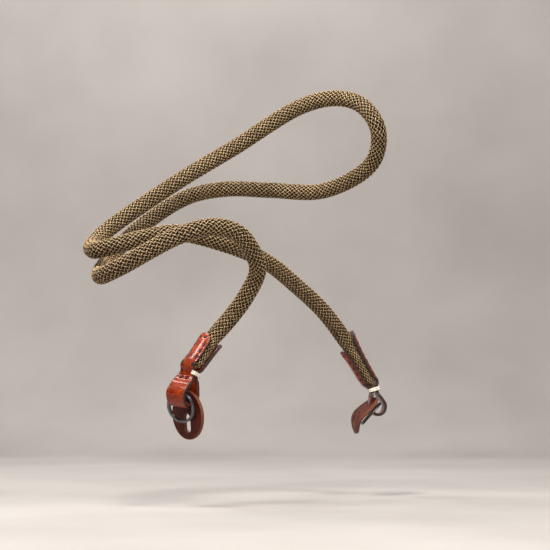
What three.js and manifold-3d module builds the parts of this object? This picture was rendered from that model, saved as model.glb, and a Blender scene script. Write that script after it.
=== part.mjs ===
// Braided rope shoulder strap with folded leather end tabs, split rings and round leather bumpers.
// Millimetres, +Z up. The origin lies midway between the two hanging points, which are on the X axis.

import * as THREE from 'three';
import { mergeVertices } from 'three/addons/utils/BufferGeometryUtils.js';
import Module from 'manifold-3d';

const wasm = await Module();
wasm.setup();

// Driving dimensions
const CLEARANCE = 0.3;
const LEATHER = 1.9;
const ROPE_RADIUS = 5.3;
const ROPE_SIDES = 10;
const ROPE_STEPS = 76;

// The rope inside a tab is pressed flat, and tapers to its cut end at the neck
const ROPE_END_AT = 3.6;
const ROPE_END_HALF = { thick: 2, wide: 4.2 };
const PRESSED_AT = 9;
const PRESSED_HALF = { thick: 3.3, wide: 5.9 };
const PRESS_RUN_OUT = { from: -12, to: 9 };

// One leather strip is folded into each tab: flap, neck, loop, neck, flap
const FLAP_HALF_WIDTH = 6.3;
const NECK_HALF_WIDTH = 5.3;
const LOOP_HALF_WIDTH = 6.5;
const NECK_REACH = 4;
const FLAP_OUT = PRESSED_HALF.thick + 1.4 * CLEARANCE + LEATHER / 2;
const FLAP_CUP_RADIUS = 11.5;
const CUP_BLEND = { from: 0, to: 7 };
const NECK_OUT = 1.7;
const NECK_STRAIGHT = { from: -3, to: 0.2 };
const OUTER_TIP_ROUND = FLAP_HALF_WIDTH;
const INNER_TIP_ROUND = 2.5;
const TIP_HALF_WIDTH = 1.4;
const STRIP_STEP = 2.2;
const STRIP_POINTS_ACROSS = 6;
const FRAME_BLEND = { from: -6, to: 10 };

const THREAD = 1.1;
const BINDING_WIDTH = 2.2;
const BINDING_LEG = 1.4;
const BINDING_AT = -1;
const BINDING_CORNER = 0.6;
const BINDING_SIDES = 8;

const RING_OUTER_RADIUS = 9.5;
const RING_WIRE_RADIAL = 1.7;
const RING_HALF_HEIGHT = 1.05;
const RING_SEAM = 0.25;
const RING_ROUND = 0.3;
const RING_SEGMENTS = 32;

const BUMPER_RADIUS = 14.6;
const BUMPER_THICKNESS = 2.1;
const LUG_SLOT = { width: 5.6, height: 11, below: 4.7 };
const STRAP_SLOT_CLEARANCE = 0.45;
const BEND_STEPS = 4;
const BEND_SHARE = 0.85;

// Both ends. Each tab has two frames that meet at its neck: "flap" follows the rope and "loop" hangs
// on the ring. "along" points up the tab and "out" points away from the other end of the strap.
const ENDS = {
  left: {
    neck: [-72.5, -0.3, 30.8],
    flap: { along: [0.65, -0.08, 0.8], out: [-0.79, 0, 0.61] },
    loop: { along: [0.26, -0.08, 0.96], out: [-0.97, -0.22, 0] },
    nearSide: -1,
    outerFlap: 25,
    innerFlap: 25,
    outerFlare: 1.2,
    innerFlare: 1.2,
    ropeStraight: 26,
    loopLength: 20.8,
    loopOut: 7.6,
    loopIn: 6.7,
    ring: { centre: [-77.3, 1.5, 9.8], axis: [-0.92, -0.25, -0.3] },
    bumper: { centre: [-71, 2.6, 5.2], out: [-1, 0.06, -0.1], up: [0, 0, 1], bendDegrees: 0 },
  },
  right: {
    neck: [81.4, -5.6, 21.5],
    flap: { along: [-0.45, 0.25, 0.857], out: [0.7, -0.52, 0.49] },
    loop: { along: [-0.16, 0.16, 0.97], out: [0.75, -0.62, 0.23] },
    nearSide: 1,
    outerFlap: 40,
    innerFlap: 31,
    outerFlare: 2.2,
    innerFlare: 1.6,
    ropeStraight: 35,
    loopLength: 18,
    loopOut: 4.9,
    loopIn: 5.2,
    ring: { centre: [79.9, -5.5, 4.7], axis: [-0.51, 0.55, 0.66] },
    bumper: {
      centre: [73.6, -1.9, 5.2],
      out: [0.58, -0.33, -0.745],
      up: [0.54, -0.51, 0.67],
      bendDegrees: 55,
    },
  },
};

// Route of the rope between the tabs, from the left one to the right one
const ROUTE = [
  [-48, -10, 64], [-46, -21, 76], [-48, -33, 90], [-58, -39, 101], [-70, -40, 110], [-84, -36, 113],
  [-101, -26, 108], [-119, 5, 91], [-119, 22, 87], [-108, 41, 89], [-86, 65, 98], [-49, 81, 124],
  [-13, 73, 148], [9, 59, 154], [29, 38, 153], [47, 7, 151], [52, -28, 162],
  [49, -41, 173], [44, -45, 187], [41, -35, 201], [37, -17, 208], [28, 7, 205], [-3, 38, 178],
  [-37, 54, 154], [-76, 75, 122], [-89, 73, 112], [-101, 59, 106], [-108, 41, 104],
  [-97, 19, 109], [-80, 3, 113], [-52, -7, 108], [-15, -4, 100], [18, 1, 86], [43, 2, 71],
];

const LEATHER_FINISH = { color: 0x9c3a1c, roughness: 0.45, metalness: 0 };
const BUMPER_FINISH = { color: 0x6d2417, roughness: 0.5, metalness: 0 };
const ROPE_FINISH = { color: 0x7a6545, roughness: 0.85, metalness: 0 };
const THREAD_FINISH = { color: 0xe4dac4, roughness: 0.7, metalness: 0 };
const RING_FINISH = { color: 0x2b2c2e, roughness: 0.35, metalness: 0.9 };

const vector = (values) => new THREE.Vector3(...values);
const smooth = (low, high, value) => THREE.MathUtils.smoothstep(value, low, high);

function toSolid(geometry) {
  const bare = geometry.clone();
  bare.deleteAttribute('normal');
  bare.deleteAttribute('uv');
  const merged = mergeVertices(bare, 1e-4);
  const vertProperties = new Float32Array(merged.attributes.position.array);
  const triVerts = new Uint32Array(merged.index.array);
  return new wasm.Manifold(new wasm.Mesh({ numProp: 3, vertProperties, triVerts }));
}

function toGeometry(solid) {
  const mesh = solid.getMesh();
  const geometry = new THREE.BufferGeometry();
  geometry.setAttribute('position', new THREE.BufferAttribute(mesh.vertProperties, 3));
  geometry.setIndex(new THREE.BufferAttribute(mesh.triVerts, 1));
  return geometry;
}

function named(name, geometry, finish) {
  geometry.computeVertexNormals();
  const mesh = new THREE.Mesh(geometry, new THREE.MeshStandardMaterial(finish));
  mesh.name = name;
  return mesh;
}

// Axes of a tab frame: along the tab, out of it, and across the strip
function axes({ along, out }) {
  const s = vector(along).normalize();
  const t = vector(out);
  t.addScaledVector(s, -t.dot(s)).normalize();
  return { s, t, w: new THREE.Vector3().crossVectors(t, s) };
}

// Place of a point given across, out of and along the tab, blended between its two frames at the neck
function tabPoint(end, across, out, along, frameAt = along) {
  const flap = axes(end.flap);
  const loop = axes(end.loop);
  const blend = smooth(FRAME_BLEND.from, FRAME_BLEND.to, frameAt);
  const mix = (axis) => loop[axis].clone().lerp(flap[axis], blend).normalize();
  return vector(end.neck)
    .addScaledVector(mix('w'), across)
    .addScaledVector(mix('t'), out)
    .addScaledVector(mix('s'), along);
}

function ropeCurve() {
  const inTab = (end) => [ROPE_END_AT, 0.5 * end.ropeStraight, end.ropeStraight]
    .map((along) => tabPoint(end, 0, 0, along));
  const points = [...inTab(ENDS.left), ...ROUTE.map(vector), ...inTab(ENDS.right).reverse()];
  return new THREE.CatmullRomCurve3(points);
}

// Half of the rope's thickness or width at a distance from its cut end inside a tab
function ropeHalf(side, fromEnd, flapLength) {
  const along = fromEnd + ROPE_END_AT;
  const taper = smooth(ROPE_END_AT - 1, PRESSED_AT, along);
  const pressed = THREE.MathUtils.lerp(ROPE_END_HALF[side], PRESSED_HALF[side], taper);
  const free = smooth(PRESS_RUN_OUT.from, PRESS_RUN_OUT.to, along - flapLength);
  return THREE.MathUtils.lerp(pressed, ROPE_RADIUS, free);
}

function circleShape(radius, sides) {
  const corners = Array.from({ length: sides }, (_, i) => {
    const angle = (2 * Math.PI * i) / sides;
    return new THREE.Vector2(radius * Math.cos(angle), radius * Math.sin(angle));
  });
  return new THREE.Shape(corners);
}

// The tube is swept at full radius, then each ring of it is pressed to the section at its station
function ropeGeometry() {
  const curve = ropeCurve();
  const geometry = new THREE.ExtrudeGeometry(circleShape(ROPE_RADIUS, ROPE_SIDES), {
    steps: ROPE_STEPS,
    extrudePath: curve,
  });
  const stations = curve.getSpacedPoints(ROPE_STEPS);
  const length = curve.getLength();
  const position = geometry.attributes.position;
  const point = new THREE.Vector3();
  for (let i = 0; i < position.count; i += 1) {
    point.fromBufferAttribute(position, i);
    const gaps = stations.map((station) => station.distanceToSquared(point));
    const nearest = gaps.indexOf(Math.min(...gaps));
    const at = (length * nearest) / ROPE_STEPS;
    const end = at < length / 2 ? ENDS.left : ENDS.right;
    const fromEnd = Math.min(at, length - at);
    const thick = ropeHalf('thick', fromEnd, end.innerFlap);
    const wide = ropeHalf('wide', fromEnd, end.innerFlap);
    const { t } = axes(end.flap);
    point.sub(stations[nearest]).multiplyScalar(wide / ROPE_RADIUS);
    point.addScaledVector(t, point.dot(t) * (thick / wide - 1)).add(stations[nearest]);
    position.setXYZ(i, point.x, point.y, point.z);
  }
  return geometry;
}

// Side view of half a folded strip, from the flap's tip to the bottom of the loop
function foldHalf(flapLength, flare, loopLength, loopWide) {
  return [
    { out: FLAP_OUT + flare, along: flapLength },
    { out: FLAP_OUT + 0.3 * flare, along: 0.6 * flapLength },
    { out: FLAP_OUT, along: 5.2 },
    { out: 0.86 * FLAP_OUT, along: 2.8 },
    { out: NECK_OUT, along: NECK_STRAIGHT.to },
    { out: NECK_OUT, along: NECK_STRAIGHT.from },
    { out: 0.43 * loopWide, along: -0.27 * loopLength },
    { out: 0.74 * loopWide, along: -0.45 * loopLength },
    { out: loopWide, along: -0.7 * loopLength },
    { out: 0.66 * loopWide, along: -0.92 * loopLength },
  ];
}

function foldCurve(end) {
  const outer = foldHalf(end.outerFlap, end.outerFlare, end.loopLength, end.loopOut);
  const inner = foldHalf(end.innerFlap, end.innerFlare, end.loopLength, end.loopIn).reverse();
  const points = [
    ...outer.map(({ out, along }) => new THREE.Vector3(out, along, 0)),
    new THREE.Vector3(0, -end.loopLength, 0),
    ...inner.map(({ out, along }) => new THREE.Vector3(-out, along, 0)),
  ];
  return new THREE.CatmullRomCurve3(points);
}

// Distances along the folded strip: close together at the round tips, even between them
function stripStations(length) {
  const tip = (round) => [0, 0.03, 0.12, 0.27, 0.5, 0.76].map((share) => share * round);
  const straight = length - OUTER_TIP_ROUND - INNER_TIP_ROUND;
  const count = Math.round(straight / STRIP_STEP);
  const even = Array.from({ length: count + 1 }, (_, i) => OUTER_TIP_ROUND + (straight * i) / count);
  const inner = tip(INNER_TIP_ROUND).map((at) => length - at).reverse();
  return [...tip(OUTER_TIP_ROUND), ...even, ...inner];
}

// How far a tip's rounded corners draw the strip's edge in
function tipRounding(fromTip, round) {
  const lead = Math.max(0, 1 - fromTip / round);
  return round * (1 - Math.sqrt(1 - lead ** 2));
}

function stripHalfWidth(at, length, along) {
  const full = along > 0 ? FLAP_HALF_WIDTH : LOOP_HALF_WIDTH;
  const pinch = (full - NECK_HALF_WIDTH) * Math.exp(-((along / NECK_REACH) ** 4));
  const rounding = tipRounding(at, OUTER_TIP_ROUND) + tipRounding(length - at, INNER_TIP_ROUND);
  return Math.max(TIP_HALF_WIDTH, full - pinch - rounding);
}

// One ring of points round the strip's cross-section, cupped round the rope along the flaps
function stripSection(end, curve, length, at, thickness, extraWidth) {
  const share = at / length;
  const middle = curve.getPointAt(share);
  const tangent = curve.getTangentAt(share);
  const normal = new THREE.Vector2(tangent.y, -tangent.x).multiplyScalar(-1);
  const half = stripHalfWidth(at, length, middle.y) + extraWidth;
  const cup = smooth(CUP_BLEND.from, CUP_BLEND.to, middle.y) / FLAP_CUP_RADIUS;
  const side = (face) => Array.from({ length: STRIP_POINTS_ACROSS }, (_, i) => {
    const across = half * ((2 * i) / (STRIP_POINTS_ACROSS - 1) - 1);
    const angle = cup * across;
    const wide = cup > 0 ? Math.sin(angle) / cup : across;
    const drop = cup > 0 ? (1 - Math.cos(angle)) / cup : 0;
    const lift = (face * thickness) / 2;
    const rise = lift * Math.cos(angle) - drop;
    return tabPoint(
      end,
      wide + lift * Math.sin(angle),
      middle.x + normal.x * rise,
      middle.y + normal.y * rise,
    );
  });
  return [...side(1), ...side(-1).reverse()];
}

// Closed skin through rings of equally many points, with flat ends
function loft(rings) {
  const count = rings[0].length;
  const half = count / 2;
  const index = [];
  for (let i = 0; i + 1 < rings.length; i += 1) {
    for (let j = 0; j < count; j += 1) {
      const k = (j + 1) % count;
      const [a, b, c, d] = [i * count + j, i * count + k, (i + 1) * count + k, (i + 1) * count + j];
      index.push(a, b, c, a, c, d);
    }
  }
  const last = (rings.length - 1) * count;
  for (let j = 0; j + 1 < half; j += 1) {
    const [a, b, c, d] = [j, j + 1, count - 2 - j, count - 1 - j];
    index.push(a, c, b, a, d, c);
    index.push(last + a, last + b, last + c, last + a, last + c, last + d);
  }
  const geometry = new THREE.BufferGeometry();
  const coordinates = rings.flat().flatMap((p) => [p.x, p.y, p.z]);
  geometry.setAttribute('position', new THREE.Float32BufferAttribute(coordinates, 3));
  geometry.setIndex(index);
  return geometry;
}

function stripGeometry(end, grow) {
  const curve = foldCurve(end);
  const length = curve.getLength();
  const rings = stripStations(length).map((at) => {
    return stripSection(end, curve, length, at, LEATHER + 2 * grow, grow);
  });
  return loft(rings);
}

// Bar of waxed thread over both cut edges of the neck, on one side of it
function bindingGeometry(end, side) {
  const outside = NECK_OUT + LEATHER / 2 + 1.5 * CLEARANCE + THREAD / 2;
  const beside = NECK_HALF_WIDTH + 1.5 * CLEARANCE + THREAD / 2;
  const corners = [
    { across: beside - BINDING_LEG, out: outside },
    { across: beside - BINDING_CORNER / 2, out: outside },
    { across: beside, out: outside - BINDING_CORNER },
    { across: beside, out: BINDING_CORNER - outside },
    { across: beside - BINDING_CORNER / 2, out: -outside },
    { across: beside - BINDING_LEG, out: -outside },
  ];
  const rings = corners.map(({ across, out }, i) => {
    const before = corners[Math.max(0, i - 1)];
    const after = corners[Math.min(corners.length - 1, i + 1)];
    const normal = new THREE.Vector2(before.out - after.out, after.across - before.across).normalize();
    return Array.from({ length: BINDING_SIDES }, (_, j) => {
      const angle = (2 * Math.PI * j) / BINDING_SIDES;
      const lift = (THREAD / 2) * Math.cos(angle);
      const along = BINDING_AT + (BINDING_WIDTH / 2) * Math.sin(angle);
      return tabPoint(end, side * (across + normal.x * lift), out + normal.y * lift, along, BINDING_AT);
    });
  });
  const geometry = loft(rings);
  return side > 0 ? geometry : flipped(geometry);
}

function flipped(geometry) {
  const index = geometry.index.array;
  for (let i = 0; i < index.length; i += 3) {
    [index[i + 1], index[i + 2]] = [index[i + 2], index[i + 1]];
  }
  return geometry;
}

// Split ring: two turns of flat wire with a seam between them, turned about its own axis
function ringGeometry() {
  const outer = RING_OUTER_RADIUS;
  const inner = outer - RING_WIRE_RADIAL;
  const top = RING_HALF_HEIGHT;
  const round = RING_ROUND;
  const profile = [
    [inner, -top + round], [inner + round, -top], [outer - round, -top], [outer, -top + round],
    [outer, -RING_SEAM], [outer - RING_SEAM, 0], [outer, RING_SEAM],
    [outer, top - round], [outer - round, top], [inner + round, top], [inner, top - round],
    [inner, RING_SEAM], [inner + RING_SEAM, 0], [inner, -RING_SEAM],
  ].map(([radius, height]) => new THREE.Vector2(radius, height));
  return new THREE.LatheGeometry([...profile, profile[0]], RING_SEGMENTS);
}

function ringMesh(name, { centre, axis }) {
  const mesh = named(name, ringGeometry(), RING_FINISH);
  mesh.position.set(...centre);
  mesh.quaternion.setFromUnitVectors(new THREE.Vector3(0, 1, 0), vector(axis).normalize());
  return mesh;
}

// Side view of the bumper's leather: straight above its middle, bent outward below it
function bumperSide(bend) {
  const half = BUMPER_THICKNESS / 2;
  const reach = BUMPER_RADIUS + 2;
  const step = reach / BEND_STEPS;
  const middle = [[reach, 0, 0], [0, 0, 0]];
  for (let i = 1; i <= BEND_STEPS; i += 1) {
    const [y, z] = middle[middle.length - 1];
    const angle = bend * Math.min(1, i / (BEND_STEPS - 1));
    middle.push([y - step * Math.cos(angle), z + step * Math.sin(angle), angle]);
  }
  const face = (sign) => middle.map(([y, z, angle]) => {
    return new THREE.Vector2(y + sign * half * Math.sin(angle), z + sign * half * Math.cos(angle));
  });
  return new THREE.Shape([...face(1), ...face(-1).reverse()]);
}

// Outline seen square on, where the bent lower half looks shorter
function bumperOutline(shorter) {
  const outline = new THREE.Shape();
  outline.absarc(0, 0, BUMPER_RADIUS, 0, Math.PI, false);
  outline.absellipse(0, 0, BUMPER_RADIUS, BUMPER_RADIUS * shorter, Math.PI, 2 * Math.PI, false);
  return outline;
}

function slotShape({ width, height, below }, shorter) {
  const radius = width / 2;
  const reach = height / 2 - radius;
  const slot = new THREE.Shape();
  slot.absellipse(0, (reach - below) * shorter, radius, radius * shorter, 0, Math.PI, false);
  slot.absellipse(0, (-reach - below) * shorter, radius, radius * shorter, Math.PI, 2 * Math.PI, false);
  return slot;
}

function through(shape, curveSegments) {
  const depth = 6 * BUMPER_RADIUS;
  const geometry = new THREE.ExtrudeGeometry(shape, { depth, bevelEnabled: false, curveSegments });
  return toSolid(geometry.translate(0, 0, -depth / 2));
}

// Round leather bumper with a slot for the lug, and a slot that the folded strip passes through
function bumperGeometry(end) {
  const { centre, out, up, bendDegrees } = end.bumper;
  const bend = THREE.MathUtils.degToRad(bendDegrees);
  const shorter = Math.cos(BEND_SHARE * bend);
  const side = new THREE.ExtrudeGeometry(bumperSide(bend), {
    depth: 3 * BUMPER_RADIUS,
    bevelEnabled: false,
  });
  side.translate(0, 0, -1.5 * BUMPER_RADIUS);
  const sideAxes = new THREE.Matrix4().makeBasis(
    new THREE.Vector3(0, 1, 0), new THREE.Vector3(0, 0, 1), new THREE.Vector3(1, 0, 0),
  );
  side.applyMatrix4(sideAxes);
  const disc = toSolid(side).intersect(through(bumperOutline(shorter), 20));
  const slotted = toGeometry(disc.subtract(through(slotShape(LUG_SLOT, shorter), 6)));
  const z = vector(out).normalize();
  const y = vector(up);
  y.addScaledVector(z, -y.dot(z)).normalize();
  const place = new THREE.Matrix4().makeBasis(new THREE.Vector3().crossVectors(y, z), y, z);
  place.setPosition(...centre);
  slotted.applyMatrix4(place);
  return toGeometry(toSolid(slotted).subtract(toSolid(stripGeometry(end, STRAP_SLOT_CLEARANCE))));
}

const strap = new THREE.Group();
strap.add(named('rope', ropeGeometry(), ROPE_FINISH));
for (const [name, end] of Object.entries(ENDS)) {
  strap.add(named(`${name}_end_tab`, stripGeometry(end, 0), LEATHER_FINISH));
  strap.add(named(`${name}_binding`, bindingGeometry(end, end.nearSide), THREAD_FINISH));
  strap.add(ringMesh(`${name}_split_ring`, end.ring));
  strap.add(named(`${name}_bumper`, bumperGeometry(end), BUMPER_FINISH));
}

export default strap;
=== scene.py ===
"""Looks of a braided rope shoulder strap with folded leather ends, in metres, +Z up."""

import math

import bpy
import numpy as np
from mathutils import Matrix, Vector
from mathutils.geometry import delaunay_2d_cdt


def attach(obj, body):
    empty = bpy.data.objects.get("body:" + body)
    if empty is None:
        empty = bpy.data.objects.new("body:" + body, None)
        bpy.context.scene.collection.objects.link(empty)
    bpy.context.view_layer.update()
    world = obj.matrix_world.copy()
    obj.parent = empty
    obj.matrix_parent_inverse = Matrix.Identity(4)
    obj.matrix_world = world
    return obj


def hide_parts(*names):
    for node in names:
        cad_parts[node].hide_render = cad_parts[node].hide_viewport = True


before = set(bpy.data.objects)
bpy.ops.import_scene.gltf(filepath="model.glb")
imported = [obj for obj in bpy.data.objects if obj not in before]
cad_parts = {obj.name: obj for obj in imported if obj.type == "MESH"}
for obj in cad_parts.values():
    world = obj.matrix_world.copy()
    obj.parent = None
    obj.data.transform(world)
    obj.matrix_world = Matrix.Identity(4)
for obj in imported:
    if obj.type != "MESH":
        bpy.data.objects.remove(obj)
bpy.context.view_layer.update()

# View of the photograph
EYE = (-0.6153, -0.6458, 0.0182)
TURN_DEGREES = 43.5
LOOK_UP_DEGREES = 4.75
LENS_MM = 92.95
SENSOR_MM = 36

# Rope
ROPE_RADIUS = 0.0053
ROPE_END_AT = 0.0014
ROPE_END_TAPER = 0.001
ROPE_END_HALF = {"thick": 0.0011, "wide": 0.004}
PRESSED_AT = 0.0065
PRESSED_HALF = {"thick": 0.0034, "wide": 0.006}
PRESS_RUN_OUT = (-0.012, 0.009)
CORE_SHARE = 0.8
CORE_SIDES = 24
CORE_STEPS = 420

# Braid: as many strands run each way, each over one and under one of the others
STRANDS_EACH_WAY = 12
BRAID_LEAD = 3.7 * 2 * ROPE_RADIUS
STRAND_STEPS_PER_LEAD = 112
STRAND_HALF_WIDTH = 0.00053
STRAND_HEIGHT = 0.00056
STRAND_RISE = 0.00036
FLOAT_SQUARENESS = 0.9
# Rise of a strand, as shares of its highest, over which its colour turns from painted shade, where it dips
# under the others, to its lit tan
PAINTED_SHADE_RANGE = (-0.3, 0.7)
# Section of a strand: shares of its half width and height, and of its lit colour, which gives way to
# painted shade on its flanks
STRAND_SECTION = ((-1, 0, 0), (-0.62, 0.75, 0.2), (0, 1, 1), (0.62, 0.75, 0.2), (1, 0, 0))

# Folded leather strip of each end
CLEARANCE = 0.0003
LEATHER = 0.0019
FLAP_HALF_WIDTH = 0.0063
NECK_HALF_WIDTH = 0.0053
LOOP_HALF_WIDTH = 0.0065
NECK_REACH = 0.004
FLAP_ROPE_HALF = 0.0033
FLAP_OUT = FLAP_ROPE_HALF + 1.4 * CLEARANCE + LEATHER / 2
FLAP_SHOULDERS = (0.0052, 0.0028)
FLAP_CUP_RADIUS = 0.0115
CUP_BLEND = (0, 0.007)
NECK_OUT = 0.0017
NECK_STRAIGHT = (-0.003, 0.0002)
OUTER_TIP_ROUND = FLAP_HALF_WIDTH
INNER_TIP_ROUND = 0.0025
FRAME_BLEND = (-0.006, 0.01)
EDGE_ROUND = 0.00045
EDGE_DARKENING_REACH = 0.0009
STRIP_STEP = 0.00035
FACE_POINTS = 44
TIP_STEPS = 16

# Stitches and thread
STITCH_PITCH = 0.00455
STITCH_INSET = 0.0021
STITCH_HALF_LENGTH = 0.0013
STITCH_RADIUS = 0.0007
STITCH_SUNK = 0.0004
STITCH_END_DIP = 0.0006
STITCH_PAST_FLAP = 0.0015
FIRST_STITCH = 0.0082
PAIR_FROM_TIP = 0.003
PAIR_HALF_GAP = 0.00195
PAIR_BELOW_NECK = 0.0049
DENT_HALF = (0.0014, 0.0009)
DENT_DEPTH = 0.0006
DENT_RIM = 0.0001
THREAD_RADIUS = 0.0006
THREAD_TURNS_PER_METRE = 260
BINDING_AT = -0.001
BINDING_LEG = 0.0014
BINDING_CORNER = 0.0007

# Split rings
RING_OUTER_RADIUS = 0.0095
RING_WIRE_RADIAL = 0.0017
RING_HALF_HEIGHT = 0.00105
RING_SEAM = 0.00006
RING_ROUND = 0.00028
RING_JOG_DEGREES = 22
RING_STEPS = 260

# Bumpers
BUMPER_RADIUS = 0.0146
BUMPER_THICKNESS = 0.0021
BUMPER_ROUND = 0.0005
LUG_SLOT = {"half_width": 0.0028, "half_height": 0.0055, "below": 0.0047}
STRAP_SLOT_CLEARANCE = 0.00045
BUMPER_GRID = 0.0007
BUMPER_BEND_RUN = (-0.002, 0.0115)

# Stage: it starts behind the camera, and its far parts have a light of their own
FLOOR_Z = -0.05
STAGE_BEHIND = 5
STAGE_FLOOR = 6.55
STAGE_COVE = 0.25
STAGE_HEIGHT = 2.2
STAGE_HALF_WIDTH = 6
LAMPS_REACH = (0.85, 1.8)
FAR_COLOUR = (0.8, 0.775, 0.75)
FAR_LIGHT = 0.5

# Lamps, with the place each shines at
LIT_MIDDLE = (-0.01, 0.0, 0.09)
LIT_WALL = (0.2, 0.3, -0.05)
LAMP_SIZE = 0.3
BACKDROP_LAMP_SIZE = 0.6

ENDS = {
    "left": {
        "neck": (-0.0725, -0.0003, 0.0308),
        "flap": {"along": (0.65, -0.08, 0.8), "out": (-0.79, 0, 0.61)},
        "loop": {"along": (0.26, -0.08, 0.96), "out": (-0.97, -0.22, 0)},
        "near_side": -1,
        "outer_flap": 0.025,
        "inner_flap": 0.025,
        "outer_flare": 0.0012,
        "inner_flare": 0.0012,
        "rope_straight": 0.026,
        "loop_length": 0.0208,
        "loop_out": 0.0076,
        "loop_in": 0.0067,
        "ring": {"centre": (-0.0773, 0.0015, 0.0098), "axis": (-0.92, -0.25, -0.3)},
        "bumper": {"centre": (-0.071, 0.0026, 0.0052), "out": (-1, 0.06, -0.1), "up": (0, 0, 1), "bend": 0},
    },
    "right": {
        "neck": (0.0814, -0.0056, 0.0215),
        "flap": {"along": (-0.45, 0.25, 0.857), "out": (0.7, -0.52, 0.49)},
        "loop": {"along": (-0.16, 0.16, 0.97), "out": (0.75, -0.62, 0.23)},
        "near_side": 1,
        "outer_flap": 0.04,
        "inner_flap": 0.031,
        "outer_flare": 0.0022,
        "inner_flare": 0.0016,
        "rope_straight": 0.035,
        "loop_length": 0.018,
        "loop_out": 0.0049,
        "loop_in": 0.0052,
        "ring": {"centre": (0.0799, -0.0055, 0.0047), "axis": (-0.51, 0.55, 0.66)},
        "bumper": {
            "centre": (0.0736, -0.0019, 0.0052),
            "out": (0.58, -0.33, -0.745),
            "up": (0.54, -0.51, 0.67),
            "bend": 55,
        },
    },
}

# Route of the rope between the tabs, from the left one to the right one
ROUTE = [
    (-0.048, -0.010, 0.064), (-0.046, -0.021, 0.076), (-0.048, -0.033, 0.090), (-0.058, -0.039, 0.101),
    (-0.070, -0.040, 0.110), (-0.084, -0.036, 0.113), (-0.101, -0.026, 0.108), (-0.119, 0.005, 0.091),
    (-0.119, 0.022, 0.087), (-0.108, 0.041, 0.089), (-0.086, 0.065, 0.098), (-0.049, 0.081, 0.124),
    (-0.013, 0.073, 0.148), (0.009, 0.059, 0.154), (0.029, 0.038, 0.153), (0.047, 0.007, 0.151),
    (0.052, -0.028, 0.162), (0.049, -0.041, 0.173), (0.044, -0.045, 0.187), (0.041, -0.035, 0.201),
    (0.037, -0.017, 0.208), (0.028, 0.007, 0.205), (-0.003, 0.038, 0.178), (-0.037, 0.054, 0.154),
    (-0.076, 0.075, 0.122), (-0.089, 0.073, 0.112), (-0.101, 0.059, 0.106), (-0.108, 0.041, 0.104),
    (-0.097, 0.019, 0.109), (-0.080, 0.003, 0.113), (-0.052, -0.007, 0.108), (-0.015, -0.004, 0.100),
    (0.018, 0.001, 0.086), (0.043, 0.002, 0.071),
]


def unit(vectors):
    vectors = np.asarray(vectors, float)
    return vectors / np.linalg.norm(vectors, axis=-1, keepdims=True)


def smooth(low, high, value):
    share = np.clip((np.asarray(value, float) - low) / (high - low), 0, 1)
    return share * share * (3 - 2 * share)


# Curves


def catmull_rom(points, per_span=40):
    """Dense points on the centripetal Catmull-Rom curve through some points."""
    points = np.asarray(points, float)
    ends = [2 * points[0] - points[1], 2 * points[-1] - points[-2]]
    points = np.vstack([ends[0], points, ends[1]])
    knots = np.sqrt(np.linalg.norm(np.diff(points, axis=0), axis=1))
    share = np.linspace(0, 1, per_span, endpoint=False)[:, None]
    spans = []
    for i in range(1, len(points) - 2):
        a, b, c, d = points[i - 1:i + 3]
        before, here, after = knots[i - 1:i + 2]
        leave = ((b - a) / before - (c - a) / (before + here) + (c - b) / here) * here
        arrive = ((c - b) / here - (d - b) / (here + after) + (d - c) / after) * here
        spans.append(
            b + leave * share
            + (3 * (c - b) - 2 * leave - arrive) * share ** 2
            + (2 * (b - c) + leave + arrive) * share ** 3
        )
    return np.vstack([*spans, points[-2:-1]])


def distances(points):
    return np.concatenate([[0], np.cumsum(np.linalg.norm(np.diff(points, axis=0), axis=1))])


def resampled(points, count):
    at = distances(points)
    even = np.linspace(0, at[-1], count)
    return np.stack([np.interp(even, at, column) for column in points.T], axis=1)


def carried_frames(points):
    """Tangents of a curve and two directions square to them that turn as little as they can."""
    tangents = unit(np.gradient(points, axis=0))
    first = np.cross(tangents[0], (0, 0, 1))
    sides = [unit(first)]
    for tangent in tangents[1:]:
        side = sides[-1] - tangent * np.dot(sides[-1], tangent)
        sides.append(unit(side))
    sides = np.array(sides)
    return tangents, sides, np.cross(tangents, sides)


# Frames of the two ends


def axes(placed):
    """Directions along, out of and across a tab."""
    along = unit(placed["along"])
    out = np.asarray(placed["out"], float)
    out = unit(out - along * np.dot(out, along))
    return along, out, np.cross(out, along)


def tab_points(end, across, out, along, frame_at=None):
    """Places of points given across, out of and along a tab, blended between its two frames at the neck."""
    frame_at = along if frame_at is None else frame_at
    share = smooth(*FRAME_BLEND, frame_at)[..., None]
    flap, loop = axes(end["flap"]), axes(end["loop"])
    mixed = [unit(b * (1 - share) + a * share) for a, b in zip(flap, loop)]
    shifts = zip(mixed, (along, out, across))
    return np.asarray(end["neck"]) + sum(axis * np.asarray(shift)[..., None] for axis, shift in shifts)


# Meshes


def lofted(rings):
    """Closed skin through rings of equally many points, as vertices and faces."""
    rings = np.asarray(rings, float)
    steps, around = rings.shape[:2]
    index = np.arange(steps * around).reshape(steps, around)
    ahead = np.roll(index, -1, axis=1)
    quads = np.stack([index[:-1], ahead[:-1], ahead[1:], index[1:]], axis=-1).reshape(-1, 4)
    faces = quads.tolist() + [index[0][::-1].tolist(), index[-1].tolist()]
    return rings.reshape(-1, 3), faces


def tube_rings(points, radii, sides, lay=0):
    """Sections of a tube along some points. lay is the turns per length of two raised plies, 0 for none."""
    _, side, up = carried_frames(points)
    angles = np.linspace(0, 2 * np.pi, sides, endpoint=False)
    radii = np.broadcast_to(np.asarray(radii, float), len(points))[:, None]
    if lay:
        turned = 2 * np.pi * lay * distances(points)[:, None]
        radii = radii * (0.9 + 0.12 * np.abs(np.cos(angles - turned)))
    return points[:, None] + radii[..., None] * (
        side[:, None] * np.cos(angles)[None, :, None] + up[:, None] * np.sin(angles)[None, :, None]
    )


def joined(parts):
    """Several vertex and face lists as one."""
    vertices, faces, start = [], [], 0
    for points, some in parts:
        vertices.append(points)
        faces.extend([[i + start for i in face] for face in some])
        start += len(points)
    return np.vstack(vertices), faces


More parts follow.
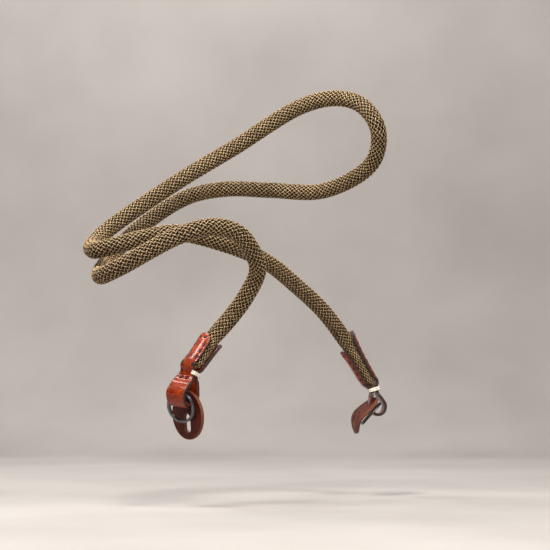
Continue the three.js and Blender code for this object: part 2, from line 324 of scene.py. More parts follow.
def make_piece(name, shape, material, slot, *replaced):
    vertices, faces = shape
    mesh = bpy.data.meshes.new(name)
    mesh.from_pydata(np.asarray(vertices).tolist(), [], faces)
    mesh.materials.append(material)
    mesh.shade_smooth()
    piece = bpy.data.objects.new(name, mesh)
    bpy.context.scene.collection.objects.link(piece)
    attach(piece, "root")
    if replaced:
        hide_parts(*replaced)
    return piece


def mark_values(piece, name, values):
    """Keeps a value on each vertex for the piece's material."""
    marked = piece.data.attributes.new(name, "FLOAT", "POINT")
    marked.data.foreach_set("value", np.asarray(values, np.float32))


def mark_places(piece, flat):
    """Keeps each vertex's place on the leather or the strand before that was bent."""
    place = piece.data.attributes.new("flat", "FLOAT_VECTOR", "POINT")
    place.data.foreach_set("vector", np.asarray(flat, np.float32).ravel())


def mark_leather(piece, edge, flat):
    """Keeps how much each vertex is cut edge, and its place on the leather."""
    mark_values(piece, "edge", edge)
    mark_places(piece, flat)


# Materials


def new_material(name, roughness, **sockets):
    """A material with its Principled shader, whose constant values are set on the shader itself."""
    made = bpy.data.materials.new(name)
    made.use_nodes = True
    shader = made.node_tree.nodes["Principled BSDF"]
    shader.inputs["Roughness"].default_value = roughness
    for socket, value in sockets.items():
        shader.inputs[socket.replace("_", " ").title()].default_value = value
    return made, made.node_tree, shader


def texture(tree, kind, scale, place=None, **values):
    """A texture node that reads the object's own coordinates, or other ones."""
    node = tree.nodes.new(kind)
    node.inputs["Scale"].default_value = scale
    for socket, value in values.items():
        node.inputs[socket.title()].default_value = value
    if place is None:
        own = tree.nodes.get("Texture Coordinate") or tree.nodes.new("ShaderNodeTexCoord")
        place = own.outputs["Object"]
    tree.links.new(place, node.inputs["Vector"])
    return node


def stretched(tree, attribute, scales):
    """Coordinates kept on the vertices, stretched by a factor in each direction."""
    kept = tree.nodes.new("ShaderNodeAttribute")
    kept.attribute_name = attribute
    node = tree.nodes.new("ShaderNodeMapping")
    node.inputs["Scale"].default_value = scales
    tree.links.new(kept.outputs["Vector"], node.inputs["Vector"])
    return node.outputs["Vector"]


def ramp(tree, factor, *stops):
    node = tree.nodes.new("ShaderNodeValToRGB")
    for _ in range(len(stops) - 2):
        node.color_ramp.elements.new(0.5)
    for element, (place, colour) in zip(node.color_ramp.elements, stops):
        element.position = place
        element.color = (*colour, 1)
    tree.links.new(factor, node.inputs["Fac"])
    return node.outputs["Color"]


def mixed_colour(tree, factor, first, second):
    node = tree.nodes.new("ShaderNodeMix")
    node.data_type = "RGBA"
    tree.links.new(factor, node.inputs[0])
    tree.links.new(first, node.inputs[6])
    tree.links.new(second, node.inputs[7])
    return node.outputs[2]


def bumped(tree, shader, *heights):
    """Bump nodes one after another, each given as a height, a strength and a distance."""
    before = None
    for height, strength, distance in heights:
        node = tree.nodes.new("ShaderNodeBump")
        node.inputs["Strength"].default_value = strength
        node.inputs["Distance"].default_value = distance
        tree.links.new(height, node.inputs["Height"])
        if before:
            tree.links.new(before, node.inputs["Normal"])
        before = node.outputs["Normal"]
    tree.links.new(before, shader.inputs["Normal"])


def leather_material(name, light, dark, edge_light, edge_dark, roughness, coat):
    """Pebbled, polished leather with fine creases, painted darker in their hollows and lighter on their
    ridges, in other colours and duller on its cut edges.
    """
    made, tree, shader = new_material(name, roughness, coat_weight=coat, coat_roughness=0.12)
    shader.inputs["Specular IOR Level"].default_value = 0.1
    clouds = texture(tree, "ShaderNodeTexNoise", 140, detail=6)
    pores = texture(tree, "ShaderNodeTexVoronoi", 1300)
    fibres = texture(tree, "ShaderNodeTexNoise", 2600, detail=3)
    creases = texture(
        tree, "ShaderNodeTexNoise", 850, stretched(tree, "flat", (1, 0.45, 1)), detail=4, distortion=0.8,
    )
    face = ramp(tree, clouds.outputs["Fac"], (0.32, dark), (0.66, light))
    # Painted light on the creases: darker in their hollows, as painted shade, and brighter than the leather
    # on their ridges, as painted highlight
    painted_crease_light = ramp(tree, creases.outputs["Fac"], (0.38, dark), (0.62, [1.4 * level for level in light]))
    face = mixed_colour(tree, clouds.outputs["Fac"], face, painted_crease_light)
    side = ramp(tree, fibres.outputs["Fac"], (0.35, edge_dark), (0.65, edge_light))
    edge = tree.nodes.new("ShaderNodeAttribute")
    edge.attribute_name = "edge"
    colour = mixed_colour(tree, edge.outputs["Fac"], face, side)
    tree.links.new(colour, shader.inputs["Base Color"])
    dull = ramp(tree, edge.outputs["Fac"], (0.3, (roughness,) * 3), (1, (0.62,) * 3))
    tree.links.new(dull, shader.inputs["Roughness"])
    bumped(
        tree, shader,
        (creases.outputs["Fac"], 0.4, 0.0005),
        (pores.outputs["Distance"], 0.22, 0.00022),
        (fibres.outputs["Fac"], 0.18, 0.0001),
    )
    return made


def strand_material(name, light, dark, roughness=0.75):
    """Fibre with uneven colour and fine fuzz."""
    made, tree, shader = new_material(name, roughness, sheen_weight=0.1, sheen_roughness=0.5)
    patches = texture(tree, "ShaderNodeTexNoise", 420, detail=4)
    fibres = texture(tree, "ShaderNodeTexNoise", 5200, detail=2)
    colour = ramp(tree, patches.outputs["Fac"], (0.3, dark), (0.7, light))
    tree.links.new(colour, shader.inputs["Base Color"])
    bumped(tree, shader, (fibres.outputs["Fac"], 0.35, 0.0001))
    return made


def braid_material(name):
    """Glossy tan fibre of the braid, with painted shade: near black between the strands, where they dip
    under each other and on their flanks, tan on their tops.
    """
    made, tree, shader = new_material(name, 0.32)
    shader.inputs["Specular IOR Level"].default_value = 0.2
    patches = texture(tree, "ShaderNodeTexNoise", 330, detail=4)
    fibres = texture(tree, "ShaderNodeTexNoise", 7000, stretched(tree, "flat", (0.07, 1, 1)), detail=3)
    crest_and_painted_shade = tree.nodes.new("ShaderNodeAttribute")
    crest_and_painted_shade.attribute_name = "crest_and_painted_shade"
    yarn = ramp(tree, patches.outputs["Fac"], (0.36, (0.3, 0.175, 0.075)), (0.64, (0.84, 0.57, 0.28)))
    # Streaks along the fibres, up to a creamy colour brighter than the yarn: partly the fibres' own tone,
    # partly painted highlight on the strands' tops
    fibre_tone_and_painted_highlight = ramp(tree, fibres.outputs["Fac"], (0.3, (0.09, 0.05, 0.02)), (0.7, (0.95, 0.68, 0.37)))
    yarn = mixed_colour(tree, patches.outputs["Fac"], yarn, fibre_tone_and_painted_highlight)
    # Painted shade: near-black colour for the gaps between the strands, where they dip under each other,
    # and for their flanks
    between = ramp(tree, fibres.outputs["Fac"], (0, (0.004, 0.0025, 0.0015)), (1, (0.014, 0.008, 0.004)))
    colour = mixed_colour(tree, crest_and_painted_shade.outputs["Fac"], between, yarn)
    tree.links.new(colour, shader.inputs["Base Color"])
    dull = ramp(tree, crest_and_painted_shade.outputs["Fac"], (0.15, (0.85,) * 3), (0.8, (0.32,) * 3))
    tree.links.new(dull, shader.inputs["Roughness"])
    bumped(tree, shader, (fibres.outputs["Fac"], 0.4, 0.00012))
    return made


def metal_material():
    made, tree, shader = new_material("black_plating", 0.32, metallic=1.0)
    wear = texture(tree, "ShaderNodeTexNoise", 900, detail=6)
    colour = ramp(tree, wear.outputs["Fac"], (0.35, (0.07, 0.072, 0.077)), (0.72, (0.2, 0.2, 0.205)))
    tree.links.new(colour, shader.inputs["Base Color"])
    bumped(tree, shader, (wear.outputs["Fac"], 0.12, 0.00008))
    return made


def stage_material():
    """Pale plaster that glows a little far from the object, where the lamps do not reach."""
    made, tree, shader = new_material("pale_plaster", 0.9)
    clouds = texture(tree, "ShaderNodeTexNoise", 7, detail=6)
    colour = ramp(tree, clouds.outputs["Fac"], (0.25, (0.31, 0.288, 0.275)), (0.75, (0.385, 0.362, 0.347)))
    tree.links.new(colour, shader.inputs["Base Color"])
    away = tree.nodes.new("ShaderNodeVectorMath")
    away.operation = "LENGTH"
    tree.links.new(tree.nodes["Texture Coordinate"].outputs["Object"], away.inputs[0])
    glow = tree.nodes.new("ShaderNodeMapRange")
    glow.interpolation_type = "SMOOTHSTEP"
    glow.inputs["From Min"].default_value = LAMPS_REACH[0]
    glow.inputs["From Max"].default_value = LAMPS_REACH[1]
    glow.inputs["To Max"].default_value = FAR_LIGHT
    tree.links.new(away.outputs["Value"], glow.inputs["Value"])
    tree.links.new(glow.outputs["Result"], shader.inputs["Emission Strength"])
    shader.inputs["Emission Color"].default_value = (*FAR_COLOUR, 1)
    return made


# Rope


def rope_path():
    def in_tab(end):
        along = np.array([ROPE_END_AT, 0.5 * end["rope_straight"], end["rope_straight"]])
        return tab_points(end, 0 * along, 0 * along, along)

    points = np.vstack([in_tab(ENDS["left"]), ROUTE, in_tab(ENDS["right"])[::-1]])
    return catmull_rom(points)


def rope_half(side, from_end, flap):
    """Half of the rope's thickness or width at distances from its cut end inside a tab."""
    along = from_end + ROPE_END_AT
    taper = smooth(ROPE_END_AT - ROPE_END_TAPER, PRESSED_AT, along)
    pressed_half = ROPE_END_HALF[side] + (PRESSED_HALF[side] - ROPE_END_HALF[side]) * taper
    free = smooth(*PRESS_RUN_OUT, along - flap)
    return pressed_half + (ROPE_RADIUS - pressed_half) * free


def pressed(points, rings, length):
    """Presses sections round the rope's points flat where they lie in a tab."""
    at = distances(points)
    left = at < length / 2
    from_end = np.minimum(at, length - at)
    flap = np.where(left, ENDS["left"]["inner_flap"], ENDS["right"]["inner_flap"])
    thick = rope_half("thick", from_end, flap) / ROPE_RADIUS
    wide = rope_half("wide", from_end, flap) / ROPE_RADIUS
    out = np.where(left[:, None], axes(ENDS["left"]["flap"])[1], axes(ENDS["right"]["flap"])[1])[:, None]
    offset = (rings - points[:, None]) * wide[:, None, None]
    level = np.sum(offset * out, axis=2, keepdims=True)
    return points[:, None] + offset + out * level * (thick / wide - 1)[:, None, None]


def strand_rings(points, frames, way, number):
    """Sections of one strand of the braid, how far each point keeps its lit colour rather than painted
    shade on its flanks and where it dips under, and its place on the strand.
    """
    _, side, up = frames
    at = distances(points)
    angle = 2 * np.pi * (way * at / BRAID_LEAD + number / STRANDS_EACH_WAY)
    column = 2 * STRANDS_EACH_WAY * angle / (2 * np.pi)
    wave = way * np.cos(np.pi * column)
    rise = STRAND_RISE * np.tanh(FLOAT_SQUARENESS * wave) / math.tanh(FLOAT_SQUARENESS)
    radial = side * np.cos(angle)[:, None] + up * np.sin(angle)[:, None]
    middle = ROPE_RADIUS - STRAND_RISE - STRAND_HEIGHT
    line = points + radial * (middle + rise)[:, None]
    forward = unit(np.gradient(line, axis=0))
    across = unit(np.cross(forward, radial))
    wide = STRAND_HALF_WIDTH * across
    high = STRAND_HEIGHT * np.cross(across, forward)
    section = np.array(STRAND_SECTION)
    rings = np.stack([line + x * wide + y * high for x, y, _ in section], axis=1)
    # Painted shade: the strand's colour falls dark where it dips under the others and on its flanks
    crest_and_painted_shade = smooth(*PAINTED_SHADE_RANGE, rise / STRAND_RISE)[:, None] * section[:, 2]
    run = np.broadcast_to(at[:, None], crest_and_painted_shade.shape)
    over = np.broadcast_to(STRAND_HALF_WIDTH * section[:, 0], crest_and_painted_shade.shape)
    flat = np.stack([run, over, np.full(crest_and_painted_shade.shape, angle[0])], axis=-1)
    return rings, crest_and_painted_shade.ravel(), flat.reshape(-1, 3)


def make_rope():
    dense = rope_path()
    length = distances(dense)[-1]
    points = resampled(dense, CORE_STEPS)
    # The core is near black: painted shade that shows in the holes between the strands
    core = make_piece(
        "rope_core",
        lofted(pressed(points, tube_rings(points, CORE_SHARE * ROPE_RADIUS, CORE_SIDES), length)),
        strand_material("rope_core_painted_shade", (0.008, 0.005, 0.003), (0.004, 0.003, 0.002)),
        "rope",
        "rope",
    )
    points = resampled(dense, int(STRAND_STEPS_PER_LEAD * length / BRAID_LEAD))
    frames = carried_frames(points)
    finish = braid_material("tan_strand")
    braid = []
    for way, hand in ((1, "right_hand"), (-1, "left_hand")):
        for first, label in enumerate(("even", "odd")):
            numbers = range(first, STRANDS_EACH_WAY, 2)
            strands = [strand_rings(points, frames, way, number) for number in numbers]
            shape = joined([lofted(pressed(points, rings, length)) for rings, _, _ in strands])
            braid.append(make_piece(f"rope_{hand}_{label}", shape, finish, "rope"))
            mark_values(braid[-1], "crest_and_painted_shade", np.concatenate([crest_and_painted_shade for _, crest_and_painted_shade, _ in strands]))
            mark_places(braid[-1], np.concatenate([flat for _, _, flat in strands]))
    return core


# Leather tabs


def fold_half(flap, flare, loop, wide):
    """Side view of half a folded strip as (out, along), from the flap's tip to the loop's bottom."""
    return [
        (FLAP_OUT + flare, flap),
        (FLAP_OUT + 0.3 * flare, 0.6 * flap),
        (FLAP_OUT, FLAP_SHOULDERS[0]),
        (0.86 * FLAP_OUT, FLAP_SHOULDERS[1]),
        (NECK_OUT, NECK_STRAIGHT[1]),
        (NECK_OUT, NECK_STRAIGHT[0]),
        (0.43 * wide, -0.27 * loop),
        (0.74 * wide, -0.45 * loop),
        (wide, -0.7 * loop),
        (0.66 * wide, -0.92 * loop),
    ]


def rounding(distance, radius):
    """How far a round of some radius draws an edge in, at distances from where it starts."""
    lead = np.clip(1 - distance / radius, 0, 1)
    return radius * (1 - np.sqrt(1 - lead ** 2))


class Strip:
    """The folded strip of one end, as places on it given along, across and through the leather."""

    def __init__(self, end):
        self.end = end
        outer = fold_half(end["outer_flap"], end["outer_flare"], end["loop_length"], end["loop_out"])
        inner = fold_half(end["inner_flap"], end["inner_flare"], end["loop_length"], end["loop_in"])
        inner = [(-out, along) for out, along in reversed(inner)]
        self.line = catmull_rom([*outer, (0, -end["loop_length"]), *inner])
        self.at = distances(self.line)
        self.length = self.at[-1]
        self.tangent = unit(np.gradient(self.line, self.at, axis=0))

    def read(self, table, at):
        return [np.interp(at, self.at, column) for column in table.T]

    def from_tip(self, at):
        return np.minimum(at, self.length - at)

    def half_width(self, at):
        _, along = self.read(self.line, at)
        full = np.where(along > 0, FLAP_HALF_WIDTH, LOOP_HALF_WIDTH)
        pinch = (full - NECK_HALF_WIDTH) * np.exp(-((along / NECK_REACH) ** 4))
        tips = rounding(at, OUTER_TIP_ROUND) + rounding(self.length - at, INNER_TIP_ROUND)
        return np.maximum(full - pinch - tips, EDGE_ROUND)

    def places(self, at, across, lift):
        out, along = self.read(self.line, at)
        tangent_out, tangent_along = self.read(self.tangent, at)
        cup = np.maximum(smooth(*CUP_BLEND, along) / FLAP_CUP_RADIUS, 1e-6)
        angle = cup * across
        rise = lift * np.cos(angle) - (1 - np.cos(angle)) / cup
        wide = np.sin(angle) / cup + lift * np.sin(angle)
        return tab_points(self.end, wide, out - tangent_along * rise, along + tangent_out * rise)

    def stations(self, step):
        """Distances along the strip, close together where its tips and their edges are round."""
        turned = 1 - np.cos(np.linspace(0, np.pi / 2, TIP_STEPS))
        edge = EDGE_ROUND * turned[::3]
        outer = np.concatenate([edge, EDGE_ROUND + (OUTER_TIP_ROUND - EDGE_ROUND) * turned[1:]])
        inner = np.concatenate([edge, EDGE_ROUND + (INNER_TIP_ROUND - EDGE_ROUND) * turned[1::2]])
        count = int((self.length - OUTER_TIP_ROUND - INNER_TIP_ROUND) / step)
        even = np.linspace(OUTER_TIP_ROUND, self.length - INNER_TIP_ROUND, count)[1:-1]
        return np.concatenate([outer, even, self.length - inner[::-1]])

    def below_neck(self, sign):
        """Distance along the strip to the stitches below its neck, on the outer or the inner half."""
        lowest = int(np.argmin(self.line[:, 1]))
        half = slice(lowest) if sign > 0 else slice(lowest, None)
        order = -sign
        heights = order * self.line[half, 1]
        return np.interp(-order * PAIR_BELOW_NECK, heights, self.at[half])


def corner_points():
    """Rounded corner of the cut edge, as shares of its radius inward and down, with how much it is edge."""
    angles = np.radians([72, 45, 18, 0])
    return np.stack([1 - np.cos(angles), 1 - np.sin(angles), np.array([0.35, 0.8, 1, 1])], axis=1)


def strip_shape(strip, step, grow=0.0, dents=None):
    """Vertices and faces of a strip, how much each vertex is cut edge, and its place on the strip."""
    at = strip.stations(step)
    half = strip.half_width(at) + grow
    thick = LEATHER / 2 + grow - rounding(strip.from_tip(at), EDGE_ROUND)
    round_off = np.minimum(EDGE_ROUND, 0.9 * half)
    shares = np.linspace(-1, 1, FACE_POINTS)
    upper = [(share * (half - round_off), thick, 0) for share in shares]
    corner = [
        (half - round_off * inward, thick - round_off * down, edge)
        for inward, down, edge in corner_points()
    ]
    right = corner + [(across, -lift, edge) for across, lift, edge in reversed(corner)]
    lower = [(across, -lift, 0) for across, lift, _ in reversed(upper)]
    left = [(-across, lift, edge) for across, lift, edge in reversed(right)]
    ring = [*upper, *right, *lower, *left]
    across = np.stack([row[0] for row in ring], axis=1)
    lift = np.stack([row[1] for row in ring], axis=1)
    along = np.broadcast_to(at[:, None], across.shape)
    flat = np.stack([along, across, lift], axis=-1).reshape(-1, 3)
    if dents is not None:
        lift[:, :FACE_POINTS] -= dents(along[:, :FACE_POINTS], across[:, :FACE_POINTS])
    edge = np.tile([row[2] for row in ring], (len(at), 1)).astype(float)
    inward = np.minimum(half[:, None] - np.abs(across), strip.from_tip(along))
    # The face takes on part of the cut edge's colour close to its edges and tips
    edge = np.maximum(edge, 0.45 * np.exp(-inward / EDGE_DARKENING_REACH))
    edge[strip.from_tip(at) < 0.6 * EDGE_ROUND] = 1
    return lofted(strip.places(along, across, lift)), edge.ravel(), flat


def stitch_marks(strip):
    """Middle and direction of each stitch on a strip, as (at, across, lengthwise)."""
    inset = FLAP_HALF_WIDTH - STITCH_INSET
    marks = []
    for tip, sign, flap in ((0, 1, "outer_flap"), (strip.length, -1, "inner_flap")):
        count = 1 + int((strip.end[flap] + STITCH_PAST_FLAP - FIRST_STITCH) / STITCH_PITCH)
        for side in (-1, 1):
            marks.append((tip + sign * PAIR_FROM_TIP, side * PAIR_HALF_GAP, False))
            for number in range(count):
                from_tip = FIRST_STITCH + STITCH_PITCH * number
                marks.append((tip + sign * from_tip, side * inset, True))
            marks.append((strip.below_neck(sign), side * PAIR_HALF_GAP, False))
    return marks


def stitch_dents(marks):
    """Depth of the leather's surface round the stitches: a dent in each, and a raised rim round it."""
    def depth(at, across):
        total = np.zeros(at.shape)
        for mark_at, mark_across, lengthwise in marks:
            long, wide = DENT_HALF if lengthwise else DENT_HALF[::-1]
            apart = ((at - mark_at) / long) ** 2 + ((across - mark_across) / wide) ** 2
            total += DENT_DEPTH * np.exp(-apart ** 2) - DENT_RIM * apart * np.exp(-0.7 * apart)
        return total

    return depth


def stitch_shapes(strip, marks):
    run = np.linspace(-1, 1, 13)
    lift = LEATHER / 2 - STITCH_SUNK - STITCH_END_DIP * np.abs(run) ** 3
    shapes = []
    for mark_at, mark_across, lengthwise in marks:
        reach = STITCH_HALF_LENGTH * run
        at = mark_at + (reach if lengthwise else 0 * reach)
        across = mark_across + (0 * reach if lengthwise else reach)
        radii = STITCH_RADIUS * np.sqrt(1.05 - run ** 4)
        shapes.append(lofted(tube_rings(strip.places(at, across, lift), radii, 10)))
    return shapes


def binding_shape(end, side):
    """Two turns of thread over both cut edges of the neck, on one side of it."""
    outside = NECK_OUT + LEATHER / 2 + THREAD_RADIUS
    beside = NECK_HALF_WIDTH + 0.5 * CLEARANCE + THREAD_RADIUS
    half = [
        (beside - BINDING_LEG - 0.0002, outside - 0.0012),
        (beside - BINDING_LEG, outside - 0.0002),
        (beside - BINDING_CORNER, outside),
        (beside, outside - BINDING_CORNER),
        (beside + 0.0001, 0.4 * outside),
    ]
    route = catmull_rom([*half, *[(across, -out) for across, out in reversed(half)]], 12)
    turns = []
    for shift in (-1, 1):
        along = np.full(len(route), BINDING_AT + shift * THREAD_RADIUS)
        points = tab_points(end, side * route[:, 0], route[:, 1], along, 0 * along + BINDING_AT)
        turns.append(lofted(tube_rings(points, THREAD_RADIUS, 14, lay=THREAD_TURNS_PER_METRE)))
    return joined(turns)


def make_tab(name, end, leather, black_thread, white_thread):
    strip = Strip(end)
    marks = stitch_marks(strip)
    shape, edge, flat = strip_shape(strip, STRIP_STEP, dents=stitch_dents(marks))
    tab = make_piece(f"{name}_tab_leather", shape, leather, "tab_leather", f"{name}_end_tab")
    mark_leather(tab, edge, flat)
    stitches = joined(stitch_shapes(strip, marks))
    make_piece(f"{name}_tab_stitches", stitches, black_thread, "thread")
    binding = binding_shape(end, end["near_side"])
    make_piece(f"{name}_thread", binding, white_thread, "thread", f"{name}_binding")
    return strip


# Split rings


def ring_shape(end):
    """Flat wire wound twice, stepping from the lower turn to the upper one under the leather."""
    axis = unit(end["ring"]["axis"])
    top = unit(np.cross(np.cross(axis, axes(end["loop"])[0]), axis))
    sideways = np.cross(axis, top)
    jog = math.radians(RING_JOG_DEGREES)
    angle = np.linspace(jog, 4 * np.pi - jog, RING_STEPS)
    half_high = RING_HALF_HEIGHT / 2 - RING_SEAM
    half_wide = RING_WIRE_RADIAL / 2
    height = RING_HALF_HEIGHT * (smooth(2 * np.pi - jog, 2 * np.pi + jog, angle) - 0.5)
    corners = []
    for turn in np.radians([20, 70, 110, 160, 200, 250, 290, 340]):
        wide = math.copysign(half_wide - RING_ROUND, math.cos(turn)) + RING_ROUND * math.cos(turn)
        high = math.copysign(half_high - RING_ROUND, math.sin(turn)) + RING_ROUND * math.sin(turn)
        corners.append((wide, high))
    outward = top * np.cos(angle)[:, None] + sideways * np.sin(angle)[:, None]
    middle = RING_OUTER_RADIUS - half_wide
    rings = [
        end["ring"]["centre"] + outward * (middle + wide) + axis * (height + high)[:, None]
        for wide, high in corners
    ]
    return lofted(np.stack(rings, axis=1))


# Bumpers


def round_loop(half_x, half_y, centre_y, count):
    """Circle, or slot with round ends, as points in the bumper's plane."""
    radius = min(half_x, half_y)
    turn = 2 * np.pi * (np.arange(count) + 0.5) / count
    x = np.copysign(half_x - radius, np.cos(turn)) + radius * np.cos(turn)
    y = np.copysign(half_y - radius, np.sin(turn)) + radius * np.sin(turn) + centre_y
    return np.stack([x, y], axis=1)


def bumper_loops(inset):
    """Rim and lug slot, with the leather drawn in from both by some distance."""
    slot_x, slot_y = LUG_SLOT["half_width"] + inset, LUG_SLOT["half_height"] + inset
    return [
        round_loop(BUMPER_RADIUS - inset, BUMPER_RADIUS - inset, 0, 128),
        round_loop(slot_x, slot_y, -LUG_SLOT["below"], 48)[::-1],
    ]


def inside(loop, points):
    ahead = np.roll(loop, -1, axis=0)
    x, y = points[:, 0, None], points[:, 1, None]
    crosses = (loop[:, 1] > y) != (ahead[:, 1] > y)
    rise = np.where(ahead[:, 1] == loop[:, 1], 1, ahead[:, 1] - loop[:, 1])
    at = loop[:, 0] + (y - loop[:, 1]) * (ahead[:, 0] - loop[:, 0]) / rise
    return (crosses & (x < at)).sum(axis=1) % 2 == 1


def bumper_face():
    """Flat face of a bumper inside its rounded edges, as points and triangles."""
    rim, slot = bumper_loops(BUMPER_ROUND)
    rows = np.arange(-BUMPER_RADIUS, BUMPER_RADIUS, BUMPER_GRID)
    grid = np.stack(np.meshgrid(rows, rows), axis=-1).reshape(-1, 2)
    clear_rim, clear_slot = bumper_loops(BUMPER_ROUND + 0.6 * BUMPER_GRID)
    grid = grid[inside(clear_rim, grid) & ~inside(clear_slot, grid)]
    points = np.vstack([rim, slot, grid])
    edges, start = [], 0
    for loop in (rim, slot):
        count = len(loop)
        edges += [(start + i, start + (i + 1) % count) for i in range(count)]
        start += count
    found = delaunay_2d_cdt([Vector(p) for p in points], edges, [], 0, 1e-7)
    triangles = np.array(found[2])
    middles = points[triangles].mean(axis=1)
    kept = inside(rim, middles) & ~inside(slot, middles)
    return points, triangles[kept], (len(rim), len(slot))


def bumper_shape():
    """Flat bumper with rounded edges, without the slot of the strip, and its cut edges."""
    points, triangles, counts = bumper_face()
    half = BUMPER_THICKNESS / 2
    top = np.column_stack([points, np.full(len(points), half)])
    vertices = [top, top * (1, 1, -1)]
    edge = [np.zeros(len(points)), np.zeros(len(points))]
    faces = triangles.tolist() + (triangles[:, ::-1] + len(points)).tolist()
    angles = np.radians([25, 55, 90])
    rows = [(BUMPER_ROUND * math.sin(a), half - BUMPER_ROUND * (1 - math.cos(a))) for a in angles]
    rows += [(out, -high) for out, high in reversed(rows)]
    start, loop_start = 2 * len(points), 0
    for number, count in enumerate(counts):
        ring = np.arange(count)
        previous = loop_start + ring
        for out, high in rows:
            loop = bumper_loops(BUMPER_ROUND - out)[number]
            vertices.append(np.column_stack([loop, np.full(count, high)]))
            edge.append(np.ones(count))
            current = start + ring
            faces += wall(previous, current)
            previous = current
            start += count
        faces += wall(previous, len(points) + loop_start + ring)
        loop_start += count
    return np.vstack(vertices), faces, np.concatenate(edge)


def wall(upper, lower):
    after = np.roll(upper, -1), np.roll(lower, -1)
    return np.stack([upper, lower, after[1], after[0]], axis=1).tolist()


def bumper_places(placed, points):
    """Bends the lower half outward and puts the bumper in its place."""
    bend = math.radians(placed["bend"])
    reach = np.linspace(0, 1.2 * BUMPER_RADIUS, 200)
    angle = bend * smooth(*BUMPER_BEND_RUN, reach)
    step = reach[1]
    low = np.concatenate([[0], np.cumsum(np.cos(angle[:-1]) * step)])
    outward = np.concatenate([[0], np.cumsum(np.sin(angle[:-1]) * step)])
    x, y, z = points.T
    below = np.maximum(0, -y)
    lean = np.interp(below, reach, angle)
    y_bent = np.where(y > 0, y, -np.interp(below, reach, low) + z * np.sin(lean))
    z_bent = np.where(y > 0, z, np.interp(below, reach, outward) + z * np.cos(lean))
    out = unit(placed["out"])
    up = np.asarray(placed["up"], float)
    up = unit(up - out * np.dot(up, out))
    directions = np.stack([np.cross(up, out), up, out])
    return np.asarray(placed["centre"]) + np.column_stack([x, y_bent, z_bent]) @ directions


def make_bumper(name, end, strip, leather):
    """Bumper with the slot of the strip cut through it."""
    flat, faces, edge = bumper_shape()
    bumper = make_piece(
        f"{name}_bumper_leather",
        (bumper_places(end["bumper"], flat), faces),
        leather,
        "bumper_leather",
        f"{name}_bumper",
    )
    mark_leather(bumper, edge, flat)
    shape, _, _ = strip_shape(strip, 4 * STRIP_STEP, STRAP_SLOT_CLEARANCE)
    cutter_mesh = bpy.data.meshes.new("strap_slot")
    cutter_mesh.from_pydata(shape[0].tolist(), [], shape[1])
    cutter = bpy.data.objects.new("strap_slot", cutter_mesh)
    bpy.context.scene.collection.objects.link(cutter)
    cut = bumper.modifiers.new("strap_slot", "BOOLEAN")
    cut.operation = "DIFFERENCE"
    cut.solver = "EXACT"
    cut.object = cutter
    bpy.context.view_layer.update()
    evaluated = bumper.evaluated_get(bpy.context.evaluated_depsgraph_get())
    done = bpy.data.meshes.new_from_object(evaluated)
    bumper.modifiers.clear()
    bumper.data = done
    bumper.data.set_sharp_from_angle(angle=math.radians(40))
    bpy.data.objects.remove(cutter)


# Camera, light and floor


def make_camera():
    """Camera at the photograph's place, and the direction it looks in."""
    turn, rise = math.radians(TURN_DEGREES), math.radians(LOOK_UP_DEGREES)
    forward = Vector((math.sin(turn) * math.cos(rise), math.cos(turn) * math.cos(rise), math.sin(rise)))
    data = bpy.data.cameras.new("view")
    data.lens = LENS_MM
    data.sensor_width = SENSOR_MM
    data.clip_start = 0.05
    data.clip_end = 20
    camera = bpy.data.objects.new("view", data)
    camera.location = EYE
    camera.rotation_euler = forward.to_track_quat("-Z", "Y").to_euler()
    bpy.context.scene.collection.objects.link(camera)
    bpy.context.scene.camera = camera
    return forward


def make_light(name, place, target, size, power, colour):
    data = bpy.data.lights.new(name, "AREA")
    data.shape = "DISK"
    data.size = size
    data.energy = power
    data.color = colour
    light = bpy.data.objects.new(name, data)
    light.location = place
    light.rotation_euler = (Vector(target) - Vector(place)).to_track_quat("-Z", "Y").to_euler()
    bpy.context.scene.collection.objects.link(light)


def make_stage(forward):
    """Floor that turns up into a wall behind the object."""
    level = Vector((forward.x, forward.y, 0)).normalized()
    across = Vector((level.y, -level.x, 0))
    start = Vector((EYE[0], EYE[1], FLOOR_Z)) - level * STAGE_BEHIND
    turn = np.linspace(0, np.pi / 2, 16)
    run = [0, *(STAGE_FLOOR + STAGE_COVE * np.sin(turn)), STAGE_FLOOR + STAGE_COVE]
    rise = [0, *(STAGE_COVE * (1 - np.cos(turn))), STAGE_HEIGHT]
    sides = (-STAGE_HALF_WIDTH, STAGE_HALF_WIDTH)
    rows = [
        [start + level * r + Vector((0, 0, h)) + across * side for side in sides]
        for r, h in zip(run, rise)
    ]
    vertices = [point for row in rows for point in row]
    faces = [(2 * i, 2 * i + 1, 2 * i + 3, 2 * i + 2) for i in range(len(rows) - 1)]
    mesh = bpy.data.meshes.new("stage")
    mesh.from_pydata(vertices, [], faces)
    mesh.materials.append(stage_material())
    mesh.shade_smooth()
    stage = bpy.data.objects.new("stage", mesh)
    bpy.context.scene.collection.objects.link(stage)


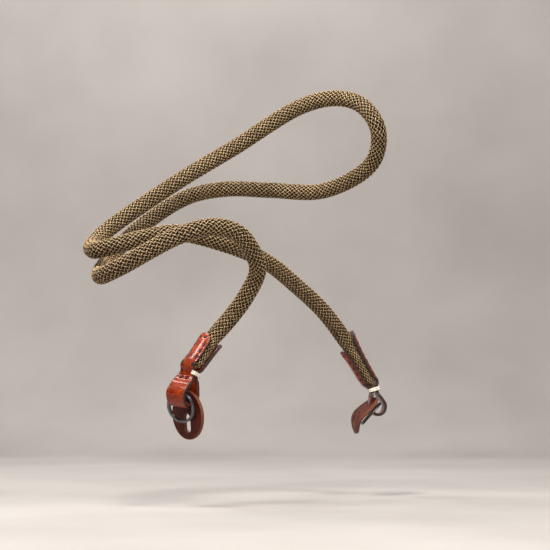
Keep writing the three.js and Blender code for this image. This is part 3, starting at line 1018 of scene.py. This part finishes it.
def make_lights():
    """Soft lamps from above and in front, one on the wall, and a grey world that only the camera sees."""
    make_light("key", (-0.5, -0.12, 0.9), LIT_MIDDLE, LAMP_SIZE, 11.5, (1, 0.97, 0.93))
    make_light("fill", (-0.1, -0.6, 0.8), LIT_MIDDLE, LAMP_SIZE, 6.5, (1, 0.97, 0.93))
    make_light("front", (-0.5, -0.7, 0.4), LIT_MIDDLE, LAMP_SIZE, 3.4, (1, 0.97, 0.93))
    make_light("rim", (-0.38, 0.5, 0.85), LIT_MIDDLE, LAMP_SIZE, 6, (1, 0.98, 0.95))
    make_light("backdrop", (0.35, 0.5, 1.0), LIT_WALL, BACKDROP_LAMP_SIZE, 4.5, (1, 0.97, 0.94))
    world = bpy.data.worlds.new("soft_grey")
    bpy.context.scene.world = world
    world.use_nodes = True
    world.node_tree.nodes["Background"].inputs["Color"].default_value = (*FAR_COLOUR, 1)
    world.node_tree.nodes["Background"].inputs["Strength"].default_value = FAR_LIGHT
    world.cycles_visibility.diffuse = False
    world.cycles_visibility.glossy = False
    bpy.context.scene.view_settings.view_transform = "Standard"


forward = make_camera()
make_rope()
tab_leather = leather_material(
    "cognac_leather",
    light=(0.33, 0.039, 0.006),
    dark=(0.10, 0.007, 0.002),
    edge_light=(0.05, 0.033, 0.03),
    edge_dark=(0.018, 0.011, 0.009),
    roughness=0.36,
    coat=0.3,
)
bumper_leather = leather_material(
    "dark_leather",
    light=(0.08, 0.009, 0.003),
    dark=(0.025, 0.003, 0.002),
    edge_light=(0.2, 0.07, 0.04),
    edge_dark=(0.09, 0.03, 0.017),
    roughness=0.5,
    coat=0.05,
)
black_thread = strand_material("black_thread", (0.010, 0.008, 0.007), (0.005, 0.004, 0.004))
white_thread = strand_material("white_thread", (0.80, 0.75, 0.64), (0.68, 0.62, 0.5))
ring_metal = metal_material()
for end_name, end in ENDS.items():
    strip = make_tab(end_name, end, tab_leather, black_thread, white_thread)
    make_piece(f"{end_name}_ring_wire", ring_shape(end), ring_metal, "ring_metal", f"{end_name}_split_ring")
    make_bumper(end_name, end, strip, bumper_leather)
make_stage(forward)
make_lights()
